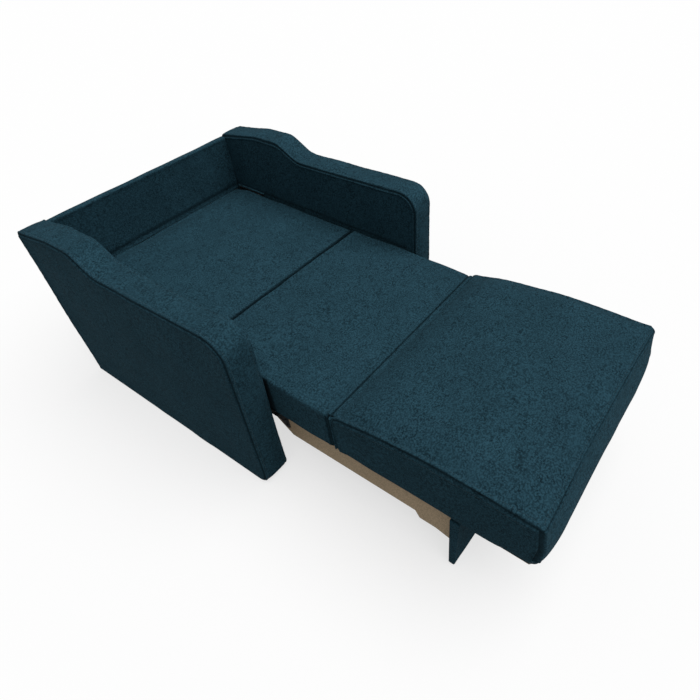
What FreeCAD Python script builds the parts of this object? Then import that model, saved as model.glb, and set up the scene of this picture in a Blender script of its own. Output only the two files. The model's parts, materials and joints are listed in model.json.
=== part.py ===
import FreeCAD, Part
import math
import os

# Convertible chair bed, standing open as a bed. Units are millimetres.
# A depth is measured forward from the front face of the back panel, a height from the floor,
# and a half width from the middle plane. The origin is on the floor under the middle of the
# open bed, +Y points to the back panel and +Z points up.

# Sleeping surface
bed_length = 1922.0
rear_length = 692.0
middle_length = 550.0
section_width = 764.0
bed_height = 454.0
section_thickness = 164.0
section_side_rise = 2.0
section_crown = 12.0
draw_in = 3.0

# Seat section, which is thicker and boxed
seat_width = 784.0
seat_bottom = 266.0
seat_rear_height = 474.0
seat_front_height = 528.0
seat_side_height = 522.0
seat_crown = 22.0
seat_front_bulge = 22.0
seat_rear_round = 44.0
seat_front_round = 10.0
seat_under_round = 28.0

# Cushion edges and cover
section_edge_round = 22.0
section_side_round = 14.0
seat_side_round = 10.0
corner_round = 12.0
seat_corner_round = 6.0
edge_station = 0.3
side_station = 0.2
middle_station = 0.5
fabric = 2.0
foam_gap = 0.4
hem = 12.0
dust_cloth = 1.2
over_cut = 1.0

# Gaps between the sections and around them
rear_gap = 3.0
fold_gap = 1.5
seat_gap = 5.0
running_gap = 0.3

# Arms
arm_gap = 792.0
arm_width = 95.0
arm_rear_height = 672.0
arm_crest_depth = 297.0
arm_crest_height = 709.0
arm_saddle_depth = 413.0
arm_saddle_height = 659.0
arm_nose_depth = 1002.0
arm_nose_height = 683.0
arm_foot_depth = 954.0
arm_heel_round = 12.0
arm_rear_round = 22.0
arm_crest_round = 120.0
arm_saddle_round = 110.0
arm_nose_round = 75.0
arm_foot_round = 18.0
arm_padding = 12.0
arm_edge_round = 8.0
arm_board = 16.0
arm_rail = 40.0
arm_rail_height = 600.0
arm_post_depth = 40.0

# Back panel and stretchers
back_thickness = 22.0
back_height = 674.0
back_cover = 3.0
back_board = 6.0
back_board_height = 660.0
back_bottom = 20.0
back_pad_round = 4.0
back_pad_lip = 2.0
back_top_round = 6.0
back_lath_height = 40.0
back_lath_thickness = 11.0
back_lath_drop = 6.0
rear_stretcher_bottom = 40.0
rear_stretcher_height = 160.0
stretcher_thickness = 40.0
middle_stretcher_depth = 600.0
middle_stretcher_bottom = 30.0
middle_stretcher_height = 60.0
stretcher_bolt_reach = 80.0
middle_bolt_rise = 12.0
middle_bolt_pitch = 18.0
floor_gap = 3.0
glide_radius = 18.0
glide_inset = 80.0

# Section frames
frame_side_inset = 22.0
frame_end_inset = 8.0
side_rail = 25.0
end_rail = 30.0
frame_height = 50.0
seat_frame_height = 60.0
seat_frame_front_inset = 23.0
slat_thickness = 8.0
slat_width = 60.0
slat_pitch = 105.0
slat_side_inset = 2.0

# Hinges
hinge_spacing = 250.0
hinge_half_width = 35.0
hinge_middle_knuckle = 11.5
knuckle_side_gap = 0.5
leaf = 3.0
leaf_length = 34.0
leaf_start = 6.0
pin_radius = 2.5
pin_clearance = 0.05
under_pin_drop = 6.0
under_knuckle = 5.5
top_pin_drop = 14.0
top_knuckle = 4.5
top_web = 6.0
top_leaf_bottom = 300.0
screw_radius = 2.0
screw_head_radius = 4.0
screw_head = 1.2
screw_length = 28.0
screw_offset = 20.0
top_screw_height = 8.0
top_screw_pitch = 14.0

# Rear pivot, which slides on short rails on the arms
pivot_travel = 95.0
pivot_pin = 6.0
pivot_plate = 3.0
pivot_plate_width = 18.0
pivot_plate_bottom = 296.0
pivot_head_radius = 8.5
pivot_head = 5.5
pivot_pin_room = 1.0
pivot_head_room = 2.0
pivot_screw_length = 22.0
pivot_screw_pitch = 20.0
block_length = 40.0
block_height = 17.4
rail_wall = 2.0
rail_depth = 10.0
rail_end_room = 5.0
rail_screw = 3.0

# Pull-out support with its front panel
panel_depth = 1638.0
panel_half_width = 381.0
panel_top_thickness = 34.0
panel_bottom_thickness = 20.0
panel_bottom = 8.0
panel_rear_round = 4.0
panel_top_round = 6.0
panel_bottom_round = 5.0
panel_core = 12.0
panel_padding = 5.0
panel_glide_radius = 6.0
panel_glide_inset = 40.0
panel_glide_set = 9.0
panel_bolt_reach = 40.0
panel_bolt_rise = 90.0
seat_rest_gap = 0.5
board_outer = 357.0
board_thickness = 16.0
board_top = 262.0
board_bottom = 150.0
board_step_depth = 1505.0
board_step_bottom = 120.0
board_step_run = 15.0
board_lip_run = 60.0
board_front_bottom = 104.0
board_rear_inset = 59.0
board_chamfer_inset = 105.0
board_chamfer_height = 212.0
board_chamfer_run = 70.0
crossbar_inset = 35.0
crossbar_thickness = 20.0
crossbar_height = 57.0
crossbar_bolt_reach = 40.0
crossbar_bolt_pitch = 20.0
strap_thickness = 3.0
strap_rear_reach = 5.0
strap_top_drop = 12.0
strap_front_gap = 2.0
strap_low_drop = 26.0
strap_low_width = 22.0
strap_slant_run = 38.0
strap_round = 6.0
strap_bolt_inset = 13.0
strap_bolt_drop = 14.0
strap_bolt_rise = 12.0
slide_travel = 680.0
slide_height = 232.0
slide_pin_inset = 15.0
slide_pin = 5.0
slide_block_length = 56.0
slide_block_height = 29.4
slide_rail_depth = 12.0
slide_screws = 4
bolt_radius = 3.0
bolt_head_radius = 6.0
bolt_head = 3.0

# Places that follow from the dimensions above
back_face = (bed_length - back_thickness) / 2
arm_inner = arm_gap / 2
arm_outer = arm_inner + arm_width
fold_depth = rear_length
seat_depth = rear_length + middle_length
pivot_depth = rear_length - middle_length
section_bottom = bed_height - section_thickness
top_pin_height = bed_height - top_pin_drop
under_pin_height = section_bottom - under_pin_drop
panel_top = seat_bottom - seat_rest_gap
board_rear_depth = arm_foot_depth - board_rear_inset
board_chamfer_depth = board_rear_depth + board_chamfer_inset
crossbar_depth = board_rear_depth + crossbar_inset
slide_pin_depth = board_rear_depth + slide_pin_inset
hinge_places = (-hinge_spacing, 0.0, hinge_spacing)

V = FreeCAD.Vector


def at(x, depth, height):
    """Point at a half width, a depth in front of the back panel, and a height."""
    return V(x, back_face - depth, height)


def block(x0, x1, depth0, depth1, z0, z1):
    """Box between two half widths, two depths and two heights."""
    return Part.makeBox(x1 - x0, depth1 - depth0, z1 - z0, at(x0, depth1, z0))


def rod_across(radius, x0, x1, depth, height):
    """Round bar along the width."""
    return Part.makeCylinder(radius, x1 - x0, at(x0, depth, height), V(1, 0, 0))


def rod_forward(radius, x, depth0, depth1, height):
    """Round bar along the depth."""
    return Part.makeCylinder(radius, depth1 - depth0, at(x, depth1, height), V(0, 1, 0))


def rod_up(radius, x, depth, z0, z1):
    """Upright round bar."""
    return Part.makeCylinder(radius, z1 - z0, at(x, depth, z0), V(0, 0, 1))


def outline(points, x):
    """Closed wire at half width x through (depth, height, corner radius) points."""
    corners = []
    for i, (depth, height, radius) in enumerate(points):
        here = at(x, depth, height)
        if radius == 0:
            corners.append((here, None, here))
            continue
        before = at(x, points[i - 1][0], points[i - 1][1])
        after_point = points[(i + 1) % len(points)]
        after = at(x, after_point[0], after_point[1])
        back = (before - here).normalize()
        ahead = (after - here).normalize()
        half_angle = back.getAngle(ahead) / 2
        reach = radius / math.tan(half_angle)
        centre = here + (back + ahead).normalize() * (radius / math.sin(half_angle))
        middle = centre + (here - centre).normalize() * radius
        corners.append((here + back * reach, middle, here + ahead * reach))
    edges = []
    for i, (start, middle, end) in enumerate(corners):
        if middle is not None:
            edges.append(Part.Arc(start, middle, end).toShape())
        following = corners[(i + 1) % len(corners)][0]
        if (following - end).Length > 1e-6:
            edges.append(Part.makeLine(end, following))
    return Part.Wire(edges)


def prism(points, x0, x1):
    """Solid of one outline between two half widths."""
    return Part.Face(outline(points, x0)).extrude(V(x1 - x0, 0, 0))


def mirrored(shape):
    """The same piece on the other side of the middle plane."""
    return shape.mirror(V(0, 0, 0), V(1, 0, 0))


def both_sides(shape):
    """A piece and its twin, as two separate solids."""
    return Part.makeCompound([shape, mirrored(shape)])


def cut_all(shape, tools):
    """One shape with every tool cut out of it, one after another."""
    for tool in tools:
        shape = shape.cut(tool)
    return shape


def quarter_drop(radius, from_edge):
    """How far a quarter round falls short of its full size near the edge."""
    if from_edge >= radius:
        return 0.0
    return radius - math.sqrt(radius ** 2 - (radius - from_edge) ** 2)


class Cushion:
    """One section's cushion: its box, crown and edge rounds, measured to the fabric."""

    def __init__(self, width, rear, front, bottom, rear_top, front_top, side_top, crown,
                 rear_round, front_round, side_round, under_round, corner, bulge):
        self.half = width / 2
        self.rear = rear
        self.front = front
        self.bottom = bottom
        self.rear_top = rear_top
        self.front_top = front_top
        self.side_top = side_top
        self.crown = crown
        self.rear_round = rear_round
        self.front_round = front_round
        self.side_round = side_round
        self.under_round = under_round
        self.corner = corner
        self.bulge = bulge

    def wire(self, x, inset):
        """Closed section of the cushion at half width x, drawn in by an even inset."""
        from_edge = self.half - inset - abs(x)
        low = quarter_drop(self.side_round, from_edge) + inset
        pull = quarter_drop(self.corner, from_edge) + draw_in * (1 - (x / self.half) ** 2)
        rise = self.crown * (1 - (x / self.half) ** 4)
        rear = self.rear + pull + inset
        front = self.front - pull - inset
        bottom = self.bottom + inset
        rear_top = self.rear_top - low
        front_top = self.front_top - low
        rear_round = self.rear_round - inset
        front_round = self.front_round - inset
        middle = (rear + front) / 2
        shoulder = math.sqrt(0.5)
        rear_arc = at(x, rear + rear_round * (1 - shoulder), rear_top - rear_round * (1 - shoulder))
        front_arc = at(x, front - front_round * (1 - shoulder),
                       front_top - front_round * (1 - shoulder))
        foot = at(x, front, bottom)
        chest = at(x, front, front_top - front_round)
        brow = at(x, front - front_round, front_top)
        nape = at(x, rear + rear_round, rear_top)
        spine = at(x, rear, rear_top - rear_round)
        heel = at(x, rear, bottom)
        top = at(x, middle, self.side_top + rise - low)
        edges = []
        if self.under_round:
            under = self.under_round - inset
            sole = at(x, rear + under, bottom)
            heel = at(x, rear, bottom + under)
            under_arc = at(x, rear + under * (1 - shoulder), bottom + under * (1 - shoulder))
            edges.append(Part.Arc(heel, under_arc, sole).toShape())
            edges.append(Part.makeLine(sole, foot))
        else:
            edges.append(Part.makeLine(heel, foot))
        if self.bulge:
            belly = at(x, front + self.bulge, (bottom + front_top - front_round) / 2)
            edges.append(Part.Arc(foot, belly, chest).toShape())
        else:
            edges.append(Part.makeLine(foot, chest))
        edges.append(Part.Arc(chest, front_arc, brow).toShape())
        edges.append(Part.Arc(brow, top, nape).toShape())
        edges.append(Part.Arc(nape, rear_arc, spine).toShape())
        edges.append(Part.makeLine(spine, heel))
        return Part.Wire(edges)

    def solid(self, inset):
        """Crowned solid, lofted through sections from one side to the other."""
        edge = self.half - inset
        steps = (0.0, edge_station * self.side_round, self.side_round, side_station * edge,
                 middle_station * edge)
        near = [-edge + step for step in steps]
        far = [edge - step for step in reversed(steps)]
        return Part.makeLoft([self.wire(x, inset) for x in near + [0.0] + far], True, True)


rear_cushion = Cushion(
    width=section_width, rear=rear_gap, front=fold_depth - fold_gap, bottom=section_bottom,
    rear_top=bed_height, front_top=bed_height, side_top=bed_height + section_side_rise,
    crown=section_crown,
    rear_round=section_edge_round, front_round=section_edge_round,
    side_round=section_side_round, under_round=0.0, corner=corner_round, bulge=0.0)

middle_cushion = Cushion(
    width=section_width, rear=fold_depth + fold_gap, front=seat_depth - seat_gap, bottom=section_bottom,
    rear_top=bed_height, front_top=bed_height, side_top=bed_height + section_side_rise,
    crown=section_crown,
    rear_round=section_edge_round, front_round=section_edge_round,
    side_round=section_side_round, under_round=0.0, corner=corner_round, bulge=0.0)

seat_cushion = Cushion(
    width=seat_width, rear=seat_depth + seat_gap, front=bed_length - seat_front_bulge, bottom=seat_bottom,
    rear_top=seat_rear_height, front_top=seat_front_height, side_top=seat_side_height,
    crown=seat_crown, rear_round=seat_rear_round, front_round=seat_front_round,
    side_round=seat_side_round, under_round=seat_under_round,
    corner=seat_corner_round, bulge=seat_front_bulge)


class Frame:
    """Wooden frame of one section: two side rails, two end rails and slats on top."""

    def __init__(self, cushion, height, front_inset):
        self.outer = cushion.half - frame_side_inset
        self.rear = cushion.rear + frame_end_inset
        self.front = cushion.front - front_inset
        self.bottom = cushion.bottom + fabric
        self.top = self.bottom + height
        self.slat_top = self.top + slat_thickness
        self.chamfer = max(0.0, cushion.under_round - fabric)

    def side_view(self, front, top):
        """Outline from the rear end forward, with the lower rear corner cut off where it is round."""
        view = [(self.rear + self.chamfer, self.bottom, 0), (front, self.bottom, 0),
                (front, top, 0), (self.rear, top, 0)]
        if self.chamfer:
            view.append((self.rear, self.bottom + self.chamfer, 0))
        return view

    def rails(self):
        inner = self.outer - side_rail
        side = prism(self.side_view(self.front, self.top), inner, self.outer)
        rear = prism(self.side_view(self.rear + end_rail, self.top), -inner, inner)
        front = block(-inner, inner, self.front - end_rail, self.front, self.bottom, self.top)
        return Part.makeCompound([side, mirrored(side), rear, front])

    def slats(self):
        reach = self.outer - slat_side_inset
        length = self.front - self.rear
        count = int((length - slat_width) // slat_pitch) + 1
        first = self.rear + (length - (count - 1) * slat_pitch - slat_width) / 2
        slats = []
        for i in range(count):
            start = first + i * slat_pitch
            slats.append(block(-reach, reach, start, start + slat_width, self.top, self.slat_top))
        return Part.makeCompound(slats)

    def room(self):
        """Space that the frame and slats take up inside the foam."""
        return prism(self.side_view(self.front, self.slat_top), -self.outer, self.outer)


rear_frame = Frame(rear_cushion, frame_height, frame_end_inset)
middle_frame = Frame(middle_cushion, frame_height, frame_end_inset)
seat_frame = Frame(seat_cushion, seat_frame_height, seat_frame_front_inset)


def hem_opening(cushion, z0, z1):
    """Opening under a cover, inside the hem that is turned under the frame."""
    rear = cushion.rear + max(hem, cushion.under_round + hem)
    side = cushion.half - hem
    return block(-side, side, rear, cushion.front - hem, z0, z1)


def make_cover(cushion, holes):
    """Fabric cover, open underneath inside its hem."""
    shell = cushion.solid(0.0).cut(cushion.solid(fabric))
    opening = hem_opening(cushion, cushion.bottom - over_cut, cushion.bottom + fabric)
    return cut_all(shell, [opening] + holes)


def make_foam(cushion, frame, holes):
    """Foam core that fills the cover round the frame and over the slats."""
    return cut_all(cushion.solid(fabric + foam_gap), [frame.room()] + holes)


def make_dust_cover(cushion, holes):
    """Thin cloth that closes the underside inside the hem."""
    inside = cushion.bottom + fabric
    cloth = hem_opening(cushion, inside - dust_cloth, inside)
    return cut_all(cloth, holes)


def knuckle(radius, bore, x0, x1, depth, height, web):
    """Hinge knuckle on its web, bored for the pin."""
    barrel = rod_across(radius, x0, x1, depth, height).fuse(web)
    return barrel.cut(rod_across(bore, x0, x1, depth, height))


def knuckle_spans(x, outer_pair):
    """Half widths of a hinge's two outer knuckles, or of its middle one."""
    if not outer_pair:
        return [(x - hinge_middle_knuckle, x + hinge_middle_knuckle)]
    inner = hinge_middle_knuckle + knuckle_side_gap
    return [(x - hinge_half_width, x - inner), (x + inner, x + hinge_half_width)]


def under_leaf(x, toward_front):
    """Leaf of the fold hinge, flat under the section in front of the fold or behind it."""
    way = 1 if toward_front else -1
    near = fold_depth + way * leaf_start
    far = near + way * leaf_length
    shape = block(x - hinge_half_width, x + hinge_half_width, min(near, far), max(near, far),
                  section_bottom - leaf, section_bottom)
    bore = pin_radius + pin_clearance if toward_front else pin_radius
    for x0, x1 in knuckle_spans(x, not toward_front):
        web = block(x0, x1, min(near, fold_depth), max(near, fold_depth),
                    section_bottom - leaf - running_gap, section_bottom - 2 * running_gap)
        shape = shape.fuse(knuckle(under_knuckle, bore, x0, x1, fold_depth, under_pin_height, web))
    return shape


def top_leaf(x, on_seat):
    """Upright leaf of the seat hinge, on the seat's rear face or on the middle section's front."""
    near = seat_depth + (seat_gap - running_gap - leaf if on_seat else running_gap - seat_gap)
    shape = block(x - hinge_half_width, x + hinge_half_width, near, near + leaf,
                  top_leaf_bottom, top_pin_height - top_web)
    bore = pin_radius if on_seat else pin_radius + pin_clearance
    for x0, x1 in knuckle_spans(x, on_seat):
        web = block(x0, x1, near, near + leaf, top_pin_height - top_web, top_pin_height)
        shape = shape.fuse(knuckle(top_knuckle, bore, x0, x1, seat_depth, top_pin_height, web))
    return shape


def under_screws(toward_front):
    """Screws that hold the fold hinge's leaves from below."""
    way = 1 if toward_front else -1
    depth = fold_depth + way * (leaf_start + leaf_length / 2)
    leaf_face = section_bottom - leaf
    screws = []
    for x in hinge_places:
        for offset in (-screw_offset, screw_offset):
            shank = rod_up(screw_radius, x + offset, depth, leaf_face, leaf_face + screw_length)
            head = rod_up(screw_head_radius, x + offset, depth, leaf_face - screw_head, leaf_face)
            screws.append(shank.fuse(head))
    return screws


def top_screws(on_seat):
    """Screws that hold the seat hinge's upright leaves to the end rails."""
    screws = []
    for x in hinge_places:
        for offset in (-screw_offset, screw_offset):
            for row in range(2):
                height = top_leaf_bottom + top_screw_height + row * top_screw_pitch
                face = seat_gap - running_gap - leaf
                if on_seat:
                    shank_ends = (seat_depth + face, seat_depth + face + screw_length)
                    head_ends = (seat_depth + face - screw_head, seat_depth + face)
                else:
                    shank_ends = (seat_depth - face - screw_length, seat_depth - face)
                    head_ends = (seat_depth - face, seat_depth - face + screw_head)
                shank = rod_forward(screw_radius, x + offset, *shank_ends, height)
                head = rod_forward(screw_head_radius, x + offset, *head_ends, height)
                screws.append(shank.fuse(head))
    return screws


def hinge_pins(depth, height):
    """One pin through each hinge."""
    pins = []
    for x in hinge_places:
        pins.append(rod_across(pin_radius, x - hinge_half_width, x + hinge_half_width, depth, height))
    return Part.makeCompound(pins)


def pivot_plates():
    """Plates on the rear section's side rails that carry the pivot above the frame."""
    plate_inner = rear_frame.outer
    end_round = pivot_plate_width / 2
    strap = block(plate_inner, plate_inner + pivot_plate, pivot_depth - end_round,
                  pivot_depth + end_round, pivot_plate_bottom, top_pin_height)
    eye = rod_across(end_round, plate_inner, plate_inner + pivot_plate, pivot_depth, top_pin_height)
    bore = rod_across(pivot_pin + pin_clearance, plate_inner, plate_inner + pivot_plate,
                      pivot_depth, top_pin_height)
    return both_sides(strap.fuse(eye).cut(bore))


def pivot_plate_screws():
    """Two screws through each pivot plate into its side rail."""
    face = rear_frame.outer + pivot_plate
    middle = (pivot_plate_bottom + rear_frame.top) / 2
    screws = []
    for height in (middle - pivot_screw_pitch / 2, middle + pivot_screw_pitch / 2):
        shank = rod_across(screw_radius, face - pivot_screw_length, face, pivot_depth, height)
        head = rod_across(screw_head_radius, face, face + screw_head, pivot_depth, height)
        screws.append(shank.fuse(head))
    return screws + [mirrored(screw) for screw in screws]


def pivot_pins():
    """Headed pins from inside the rear section out to the sliding blocks."""
    inner = rear_frame.outer - running_gap
    outer = arm_inner - rail_wall - running_gap
    pin = rod_across(pivot_pin, inner, outer, pivot_depth, top_pin_height)
    head = rod_across(pivot_head_radius, inner - pivot_head, inner, pivot_depth, top_pin_height)
    return both_sides(pin.fuse(head))


def pivot_room():
    """Room in the rear cushion for the pivot pins and their heads."""
    head = rod_across(pivot_head_radius + pivot_pin_room,
                      rear_frame.outer - pivot_head - pivot_head_room, rear_frame.outer,
                      pivot_depth, top_pin_height)
    shank = rod_across(pivot_pin + pivot_pin_room, rear_frame.outer, rear_cushion.half + over_cut,
                       pivot_depth, top_pin_height)
    return [head, shank, mirrored(head), mirrored(shank)]


def channel(depth0, depth1, height, inside, wide):
    """Channel rail on an arm's inner face, open towards the middle and closed at its ends."""
    half = inside / 2 + running_gap
    outside = block(arm_inner - wide, arm_inner, depth0 - rail_wall, depth1 + rail_wall,
                    height - half - rail_wall, height + half + rail_wall)
    groove = block(arm_inner - wide, arm_inner - rail_wall, depth0, depth1,
                   height - half, height + half)
    return outside.cut(groove)


def slider(depth, length, height, tall, wide, bore):
    """Sliding block in a channel rail, bored for its pin."""
    shape = block(arm_inner - wide, arm_inner - rail_wall - running_gap, depth - length / 2,
                  depth + length / 2, height - tall / 2, height + tall / 2)
    return shape.cut(rod_across(bore, arm_inner - wide, arm_inner, depth, height))


def rail_screws():
    """Screws from the channel rails through the padding into the arms' inner boards."""
    reach = (block_length / 2 + rail_end_room) / 2
    places = [(pivot_depth - pivot_travel - reach, top_pin_height),
              (pivot_depth + reach, top_pin_height)]
    pitch = slide_travel / (slide_screws - 1)
    places += [(slide_pin_depth - i * pitch, slide_height) for i in range(slide_screws)]
    screws = []
    for depth, height in places:
        screws.append(rod_across(rail_screw, arm_inner - rail_wall, arm_inner + arm_padding + arm_board,
                                 depth, height))
    return screws


def arm_outline():
    """Side view of an arm: stepped top, rounded nose and a front edge that leans out."""
    return [(-back_thickness, floor_gap, arm_heel_round),
            (-back_thickness, arm_rear_height, arm_rear_round),
            (arm_crest_depth, arm_crest_height, arm_crest_round),
            (arm_saddle_depth, arm_saddle_height, arm_saddle_round),
            (arm_nose_depth, arm_nose_height, arm_nose_round),
            (arm_foot_depth, floor_gap, arm_foot_round)]


def arm_core(x0, x1):
    """Space inside the padding between two half widths, open at the floor."""
    face = Part.Face(outline(arm_outline(), x0))
    upper = Part.Face(face.makeOffset2D(-arm_padding).OuterWire).extrude(V(x1 - x0, 0, 0))
    foot = block(x0, x1, arm_padding - back_thickness, arm_foot_depth - arm_padding,
                 floor_gap, floor_gap + arm_rail)
    return upper.fuse(foot).removeSplitter()


def arm_core_span():
    """Half widths of the two boards inside an arm."""
    return arm_inner + arm_padding, arm_outer - arm_padding


def make_arm_cover(holes):
    """Padded fabric cover of one arm."""
    body = prism(arm_outline(), arm_inner, arm_outer)
    rim = [edge for edge in body.Edges if edge.BoundBox.XLength < 0.01]
    body = body.makeFillet(arm_edge_round, rim)
    inner, outer = arm_core_span()
    return cut_all(body, [arm_core(inner, outer)] + holes)


def make_arm_rails():
    """Rails and posts between an arm's two boards."""
    inner, outer = arm_core_span()
    x0 = inner + arm_board
    x1 = outer - arm_board
    rear = arm_post_depth
    front = arm_foot_depth - arm_padding - 2 * arm_rail
    base = floor_gap + arm_rail
    return Part.makeCompound([
        block(x0, x1, arm_padding - back_thickness, arm_foot_depth - arm_padding, floor_gap, base),
        block(x0, x1, rear, rear + arm_rail, base, arm_rail_height + arm_rail),
        block(x0, x1, front, front + arm_rail, base, arm_rail_height + arm_rail),
        block(x0, x1, rear + arm_rail, front, arm_rail_height, arm_rail_height + arm_rail),
        block(x0, x1, rear + arm_rail, front, slide_height - arm_rail / 2, slide_height + arm_rail / 2)])


def stretcher_bolts():
    """Bolts from inside the arms into the ends of both stretchers."""
    board_face = arm_inner + arm_padding + arm_board
    rear_middle = stretcher_thickness / 2 - back_thickness + back_cover + back_board
    front_middle = middle_stretcher_depth + stretcher_thickness / 2
    base = floor_gap + arm_rail
    places = [(rear_middle, rear_stretcher_bottom + 0.25 * rear_stretcher_height),
              (rear_middle, rear_stretcher_bottom + 0.75 * rear_stretcher_height),
              (front_middle, base + middle_bolt_rise),
              (front_middle, base + middle_bolt_rise + middle_bolt_pitch)]
    bolts = []
    for depth, height in places:
        shank = rod_across(bolt_radius, arm_inner - stretcher_bolt_reach, board_face, depth, height)
        head = rod_across(bolt_head_radius, board_face, board_face + bolt_head, depth, height)
        bolts.append(shank.fuse(head))
    return bolts


def back_lath():
    """Lath that ties the arms together inside the top of the back panel."""
    front = -back_thickness + back_cover + back_board
    top = back_board_height - back_lath_drop
    return block(-arm_inner, arm_inner, front, front + back_lath_thickness,
                 top - back_lath_height, top)


def back_cover_solid():
    """Padded front above the bed, wrapped over the top and down the rear."""
    board_rear = back_cover - back_thickness
    board_front = board_rear + back_board
    pad_bottom = bed_height + rear_gap
    shape = prism([(0, pad_bottom, back_pad_round), (0, back_height, back_top_round),
                   (-back_thickness, back_height, back_top_round),
                   (-back_thickness, back_bottom, 0), (board_rear, back_bottom, 0),
                   (board_rear, back_board_height, 0), (board_front, back_board_height, 0),
                   (board_front, pad_bottom, back_pad_lip)], -arm_inner, arm_inner)
    return shape.cut(back_lath())


def back_board_solid():
    rear = back_cover - back_thickness
    return block(-arm_inner, arm_inner, rear, rear + back_board, back_bottom, back_board_height)


def rear_stretcher_solid():
    rear = back_cover + back_board - back_thickness
    return block(-arm_inner, arm_inner, rear, rear + stretcher_thickness, rear_stretcher_bottom,
                 rear_stretcher_bottom + rear_stretcher_height)


def middle_stretcher_solid():
    return block(-arm_inner, arm_inner, middle_stretcher_depth,
                 middle_stretcher_depth + stretcher_thickness, middle_stretcher_bottom,
                 middle_stretcher_bottom + middle_stretcher_height)


def floor_glides():
    """Two glides under each arm."""
    middle = (arm_inner + arm_outer) / 2
    glides = []
    for depth in (glide_inset, arm_foot_depth - glide_inset):
        glides.append(rod_up(glide_radius, middle, depth, 0, floor_gap))
    return Part.makeCompound(glides + [mirrored(glide) for glide in glides])


def side_board_outline():
    """Side view of the pull-out side board, with its stepped bottom and cut rear corner."""
    return [(board_rear_depth, board_top, 0), (panel_depth, board_top, 0),
            (panel_depth, board_front_bottom, 0),
            (panel_depth - board_lip_run, board_step_bottom, 0),
            (board_step_depth + board_step_run, board_step_bottom, 0),
            (board_step_depth, board_bottom, 0), (board_chamfer_depth, board_bottom, 0),
            (board_chamfer_depth - board_chamfer_run, board_chamfer_height, 0),
            (board_rear_depth, board_chamfer_height, 0)]


def slider_strap_outline():
    """Side view of the strap that carries a slider at the rear end of the side board."""
    rear = board_rear_depth - strap_rear_reach
    front = board_chamfer_depth - strap_front_gap
    top = board_top - strap_top_drop
    low = board_chamfer_height - strap_low_drop
    return [(rear, board_chamfer_height, 0), (rear, top, 0), (front, top, strap_round),
            (front, low, strap_round), (front - strap_low_width, low, 0),
            (front - strap_slant_run, board_chamfer_height, 0)]


def strap_bolts():
    """Bolts through the straps and side boards, two of them into the crossbar."""
    face = board_outer + strap_thickness
    inner = board_outer - board_thickness
    crossbar_middle = crossbar_depth + crossbar_thickness / 2
    front = board_chamfer_depth - strap_bolt_inset
    middle = board_top - crossbar_height / 2
    half_pitch = crossbar_bolt_pitch / 2
    places = [(crossbar_middle, middle - half_pitch, inner - crossbar_bolt_reach),
              (crossbar_middle, middle + half_pitch, inner - crossbar_bolt_reach),
              (front, board_chamfer_height - strap_bolt_drop, inner),
              (front, board_chamfer_height + strap_bolt_rise, inner)]
    bolts = []
    for depth, height, end in places:
        shank = rod_across(bolt_radius, end, face, depth, height)
        head = rod_across(bolt_head_radius, face, face + bolt_head, depth, height)
        bolts.append(shank.fuse(head))
    return bolts + [mirrored(bolt) for bolt in bolts]


def panel_bolts():
    """Bolts from the front panel's board into the ends of the side boards."""
    middle = board_outer - board_thickness / 2
    core_front = panel_depth + panel_padding + panel_core
    bolts = []
    for height in (board_bottom, board_bottom + panel_bolt_rise):
        bolts.append(rod_forward(bolt_radius, middle, panel_depth - panel_bolt_reach, core_front,
                                 height))
    return bolts + [mirrored(bolt) for bolt in bolts]


def panel_core_solid():
    width = panel_half_width - panel_padding
    rear = panel_depth + panel_padding
    return block(-width, width, rear, rear + panel_core, panel_bottom + panel_padding,
                 panel_top - panel_padding)


def panel_cover_solid():
    """Padded cover of the front panel, thinner towards the floor."""
    return prism([(panel_depth, panel_bottom, panel_rear_round),
                  (panel_depth, panel_top, panel_rear_round),
                  (panel_depth + panel_top_thickness, panel_top, panel_top_round),
                  (panel_depth + panel_bottom_thickness, panel_bottom, panel_bottom_round)],
                 -panel_half_width, panel_half_width)


def panel_glides():
    """Two glides under the front panel."""
    return both_sides(rod_up(panel_glide_radius, panel_half_width - panel_glide_inset,
                             panel_depth + panel_glide_set, 0, panel_bottom))


def save(name, shape):
    shape.exportStep("parts/" + name + ".step")


def build_arms():
    bolts = stretcher_bolts()
    screws = rail_screws()
    holes = bolts + screws
    inner, outer = arm_core_span()
    pieces = {
        "arm_cover": make_arm_cover(holes),
        "arm_inner_board": cut_all(arm_core(inner, inner + arm_board), holes),
        "arm_outer_board": arm_core(outer - arm_board, outer),
        "arm_rails": make_arm_rails()}
    for name, shape in pieces.items():
        save("left_" + name, shape)
        save("right_" + name, mirrored(shape))
    save("floor_glides", floor_glides())
    save("rail_screws", Part.makeCompound(screws + [mirrored(screw) for screw in screws]))
    save("stretcher_bolts", Part.makeCompound(bolts + [mirrored(bolt) for bolt in bolts]))


def build_back():
    bolts = stretcher_bolts()
    holes = bolts + [mirrored(bolt) for bolt in bolts]
    save("back_panel_cover", back_cover_solid())
    save("back_panel_board", back_board_solid())
    save("back_panel_lath", back_lath())
    save("rear_stretcher", cut_all(rear_stretcher_solid(), holes))
    save("middle_stretcher", cut_all(middle_stretcher_solid(), holes))


def build_rails():
    screws = rail_screws()
    reach = block_length / 2 + rail_end_room
    pivot = channel(pivot_depth - pivot_travel - reach, pivot_depth + reach, top_pin_height,
                    block_height, rail_depth)
    slide_reach = slide_block_length / 2 + rail_end_room
    slide = channel(slide_pin_depth - slide_travel - slide_reach, slide_pin_depth + slide_reach,
                    slide_height, slide_block_height, slide_rail_depth)
    save("pivot_rails", both_sides(cut_all(pivot, screws)))
    save("left_slide_rail", cut_all(slide, screws))
    save("right_slide_rail", mirrored(cut_all(slide, screws)))


def build_pivot_carriage():
    shape = slider(pivot_depth, block_length, top_pin_height, block_height, rail_depth, pivot_pin)
    save("pivot_blocks", both_sides(shape))
    save("pivot_pins", pivot_pins())


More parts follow.
